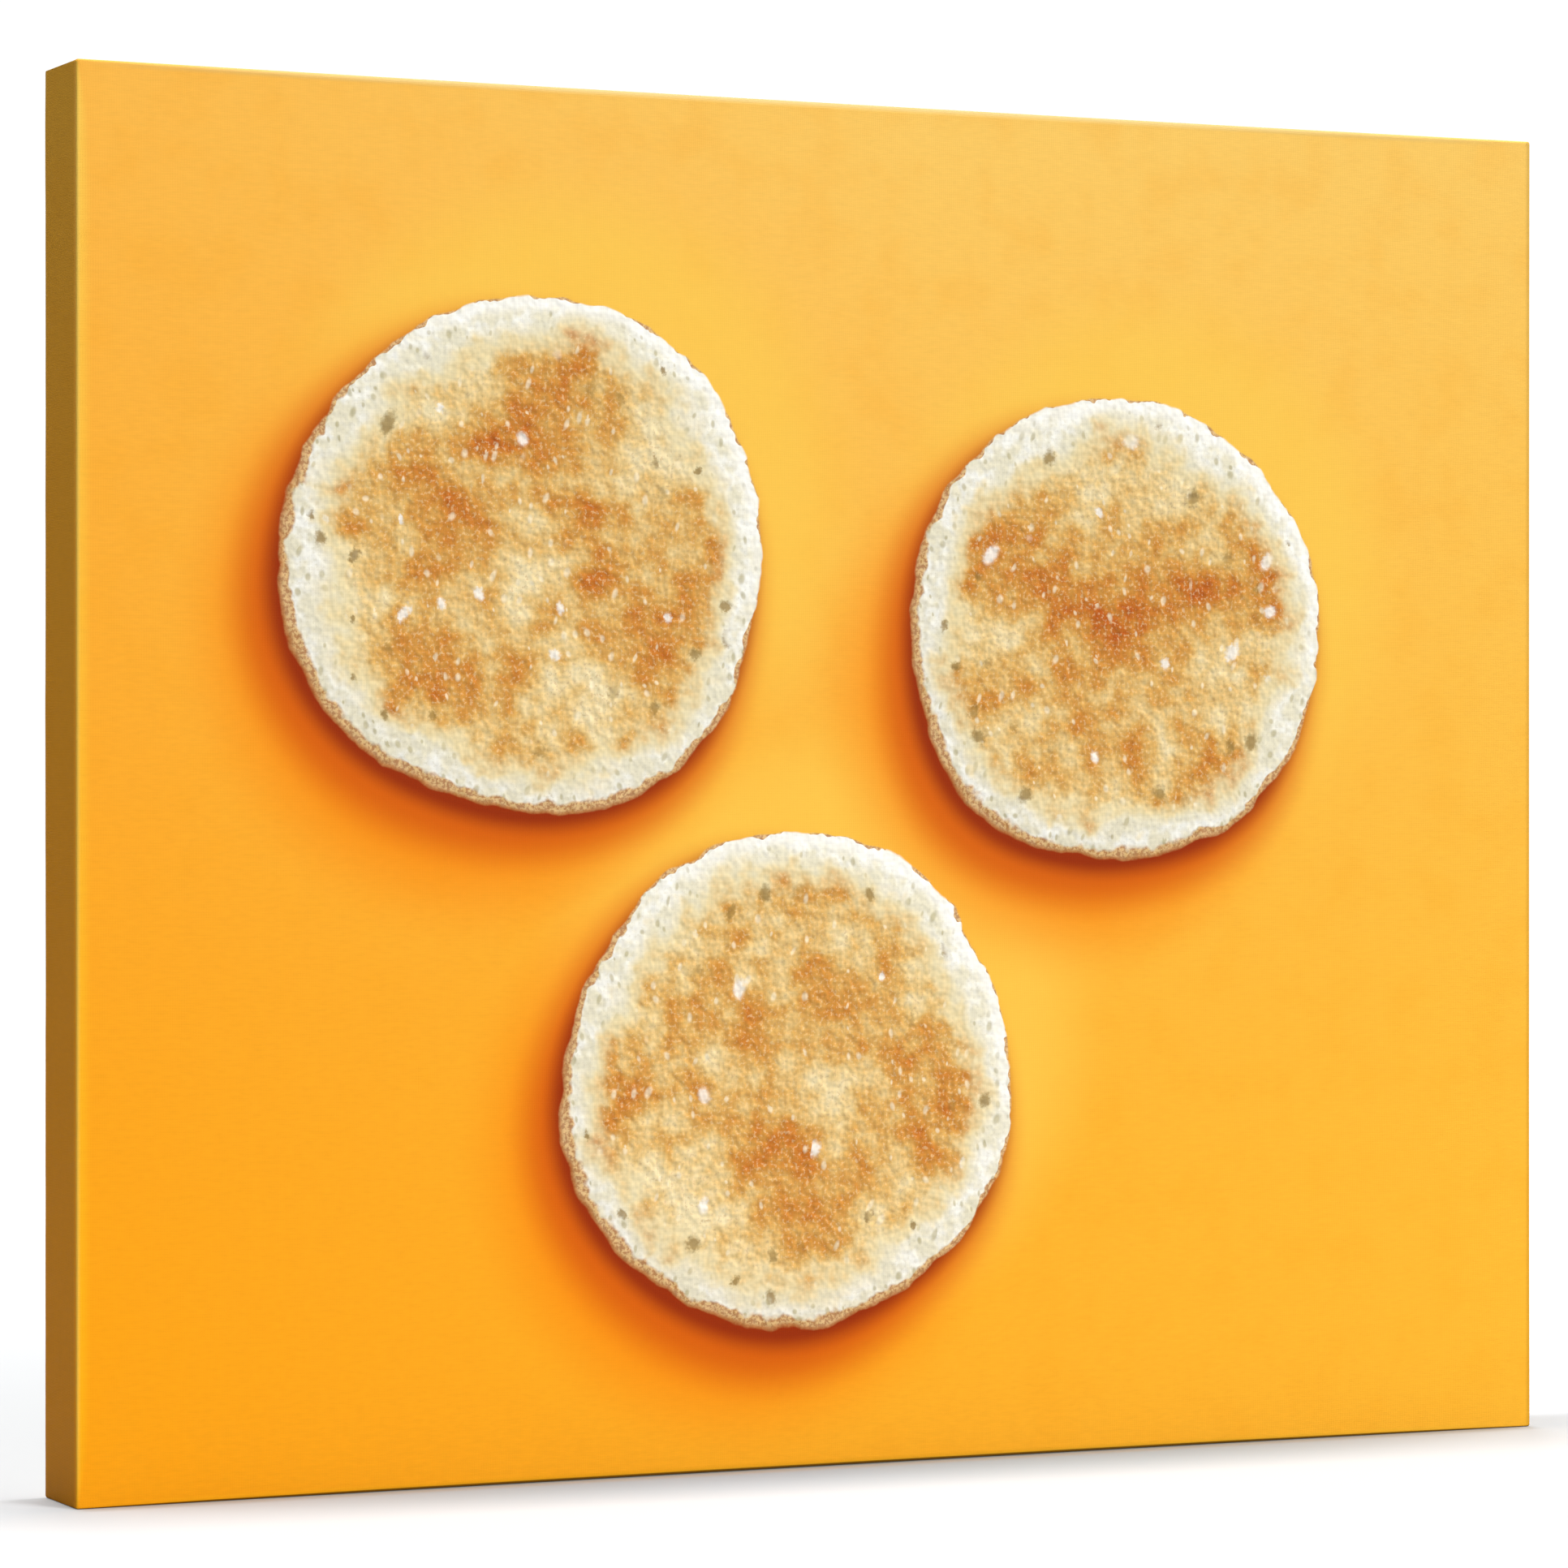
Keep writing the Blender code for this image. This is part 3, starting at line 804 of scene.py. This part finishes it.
def staple_crowns(name, boxes, level):
    """Wire crowns with bent shoulders, one in each box.

    The path climbs out of the cloth, turns a quarter circle, runs along the bar, turns
    again and goes back in. phi is its heading: 90 degrees going out, 0 along the bar.
    """
    draw = np.random.default_rng(len(name))
    low, high = boxes[:, 0], boxes[:, 1]
    run = (high - low)[:, 0 if level else 2].mean()
    bend = np.radians([90, 90, 68, 45, 22, 0])
    phi = np.concatenate([bend, [0, 0], -bend[::-1]])
    shoulder_s = SHOULDER * (1 - np.sin(bend[1:]))
    shoulder_h = SHOULDER * np.cos(bend[1:])
    s_left = np.concatenate([[0], shoulder_s]) - run / 2 + WIRE_THICKNESS / 2
    h_left = np.concatenate([[-LEG_SHOWN], shoulder_h])
    s = np.concatenate([s_left, [-run / 6, run / 6], -s_left[::-1]])
    h = np.concatenate([h_left, [SHOULDER, SHOULDER], h_left[::-1]]) - SHOULDER
    along = np.array([1.0, 0, 0]) if level else np.array([0, 0, 1.0])
    out = np.array([0, 1.0, 0])
    skew = draw.normal(0, np.radians(1.4), len(boxes))[:, None]
    across = np.cross(out, along)
    ways = (np.cos(skew) * along + np.sin(skew) * across)[:, None]
    middles = (low + high) / 2
    middles[:, 1] = high[:, 1] - WIRE_THICKNESS / 2
    centre = middles[:, None] + ways * s[None, :, None] + out * h[None, :, None]
    up = -np.sin(phi)[None, :, None] * ways + np.cos(phi)[None, :, None] * out
    side = np.broadcast_to(np.cross(out, ways), centre.shape)
    turn = np.radians(np.arange(22.5, 360, 45))
    square = np.column_stack([np.cos(turn), np.sin(turn)])
    square = square / np.abs(square).max(axis=1, keepdims=True) ** 0.7
    section = square * (WIRE_WIDTH / 2, WIRE_THICKNESS / 2)
    return tubes(name, carry(centre, side, up, section[None]))


staple_steel = zinc("staple_steel", (168, 170, 174))
for bar in ("top", "bottom", "left", "right"):
    names = [name for name in crown_names if name.startswith("staple_" + bar)]
    boxes = np.array([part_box(name) for name in names])
    crowns = staple_crowns("staples_" + bar, boxes, bar in ("top", "bottom"))
    crowns.data.materials.append(staple_steel)
    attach(crowns, "root")
    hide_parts(*names)

# The hanger: a pressed sawtooth strip with a flange at each end, in zinc-plated steel. It
# stays as packed, on the middle of the top bar. The heads of its two nails are domed.

NAIL_RIM = 0.0002
NAIL_SIDES = 30

hanger_steel = zinc("hanger_steel", (182, 178, 168))
coat("hanger", hanger_steel)


def nail_heads(boxes):
    """A dome in each box: phi goes from 0 at its rim to 85 degrees near its top.

    The radius is R cos(phi), and the height is the rim's and then that of an arc, sin(phi).
    """
    low, high = boxes[:, 0], boxes[:, 1]
    radius = (high - low)[:, 0].mean() / 2
    thickness = (high - low)[:, 1].mean()
    phi = np.radians(np.linspace(0, 85, 10))
    height = np.concatenate([[0], NAIL_RIM + (thickness - NAIL_RIM) * np.sin(phi)])
    breadth = radius * np.concatenate([[1], np.cos(phi)])
    turn = np.radians(np.arange(0, 360, 360 / NAIL_SIDES))
    section = np.column_stack([np.cos(turn), np.sin(turn)])[None] * breadth[:, None, None]
    seat = (low + high) / 2
    seat[:, 1] = low[:, 1]
    centre = seat[:, None] + np.array([0, 1.0, 0]) * height[:, None]
    side = np.broadcast_to((0, 0, 1.0), centre.shape)
    up = np.broadcast_to((1.0, 0, 0), centre.shape)
    heads = tubes("nail_heads", carry(centre, side, up, section))
    heads.data.set_sharp_from_angle(angle=math.radians(50))
    return heads


nails = ["nail_left", "nail_right"]
heads = nail_heads(np.array([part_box(name) for name in nails]))
heads.data.materials.append(hanger_steel)
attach(heads, "root")
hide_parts(*nails)

# The stage: a white floor with no edge in sight, a low sun for the key light from the
# upper right, a long softbox just behind the print's top edge, a soft fill for the back,
# and the camera.

FLOOR_REACH = 9.0
floor_corners = np.array([(-1, -1, 0), (1, -1, 0), (1, 1, 0), (-1, 1, 0)]) * FLOOR_REACH
floor = make_piece("floor", floor_corners, [(0, 1, 2, 3)])
paint = Finish("floor_paint", roughness=0.9, specular=0.1)
floor_place = paint.object_place()
patchy = paint.noise(floor_place, 3.0)
paint.give("Base Color", paint.blend(patchy, (0.49, 0.50, 0.51), (0.51, 0.52, 0.53)))
# The floor's emission, seen only by the camera, is painted light: brightest far off, weaker beside and
# behind the print, dimmer and cooler in front of the print against the orange light the print throws
# there, and dimmest at the print's foot, a painted contact shadow.
reach = paint.add("ShaderNodeVectorMath", {"operation": "LENGTH"}, {0: floor_place}, "Value")
across, outward, _ = paint.parts_of(floor_place)
aside = paint.math("ABSOLUTE", across)
under_face = paint.rise(outward, -0.125, -0.035) * paint.rise(aside, 0.36, 0.10)
front_glow = paint.blend(under_face, (0.22, 0.22, 0.22), (0.01, 0.105, 0.160))
under_print = paint.rise(aside, WIDTH / 2 + 0.004, WIDTH / 2 - 0.004)
contact = paint.rise(outward, -0.032, -0.022) * under_print
front_glow = paint.blend(contact, front_glow, (0.05, 0.045, 0.03))
near_glow = paint.blend(paint.rise(outward, -0.02, 0.01), front_glow, (0.17, 0.17, 0.17))
glow = paint.blend(paint.rise(reach, 0.15, 1.6), near_glow, (0.76, 0.76, 0.76))
looked_at = paint.add("ShaderNodeLightPath", {}, {}, "Is Camera Ray")
paint.give("Emission Color", paint.shade(glow, looked_at))
paint.give("Emission Strength", 1.0)
floor.data.materials.append(paint.material)


def hang_light(name, kind, where, **settings):
    """A lamp at where, turned towards the middle of the print."""
    lamp = bpy.data.lights.new(name, kind)
    for setting, value in settings.items():
        setattr(lamp, setting, value)
    light = bpy.data.objects.new(name, lamp)
    light.location = where
    towards = Vector((0, 0, MIDDLE_Z)) - Vector(where)
    light.rotation_euler = towards.to_track_quat("-Z", "Y").to_euler()
    bpy.context.scene.collection.objects.link(light)


hang_light("key_light", "SUN", (1.8, -3.2, 1.86), energy=2.98, angle=math.radians(22))
hang_light("top_light", "AREA", (0, 0.15, 3.0), energy=100, shape="RECTANGLE", size=2.4, size_y=0.36)
hang_light("rear_fill", "AREA", (0.9, 3.0, 1.3), energy=50, shape="SQUARE", size=2.0)

SURROUND_LIGHT = 0.15
SURROUND_SEEN = 1.05


class Surround(Finish):
    """The studio's white walls: a weak light on the print, and bright behind it."""

    def __init__(self, name):
        self.world = bpy.data.worlds.new(name)
        self.world.use_nodes = True
        self.tree = self.world.node_tree
        self.surface = self.tree.nodes["Background"]


walls = Surround("studio")
seen_directly = walls.add("ShaderNodeLightPath", {}, {}, "Is Camera Ray")
walls.give("Color", (1.0, 1.0, 1.0))
walls.give("Strength", seen_directly * (SURROUND_SEEN - SURROUND_LIGHT) + SURROUND_LIGHT)
bpy.context.scene.world = walls.world

# Level with the middle of the print and to its left, with a long lens.
VIEW_TURN = 25.0
CAMERA_LEFT = 0.915
CAMERA_AWAY = 1.905
lens = bpy.data.cameras.new("camera")
lens.lens = 127.8
lens.sensor_width = 36
camera = bpy.data.objects.new("camera", lens)
camera.location = (-CAMERA_LEFT, FACE_Y - CAMERA_AWAY, MIDDLE_Z)
camera.rotation_euler = (math.radians(90), 0, math.radians(-VIEW_TURN))
bpy.context.scene.collection.objects.link(camera)
bpy.context.scene.camera = camera
bpy.context.scene.view_settings.view_transform = "Standard"
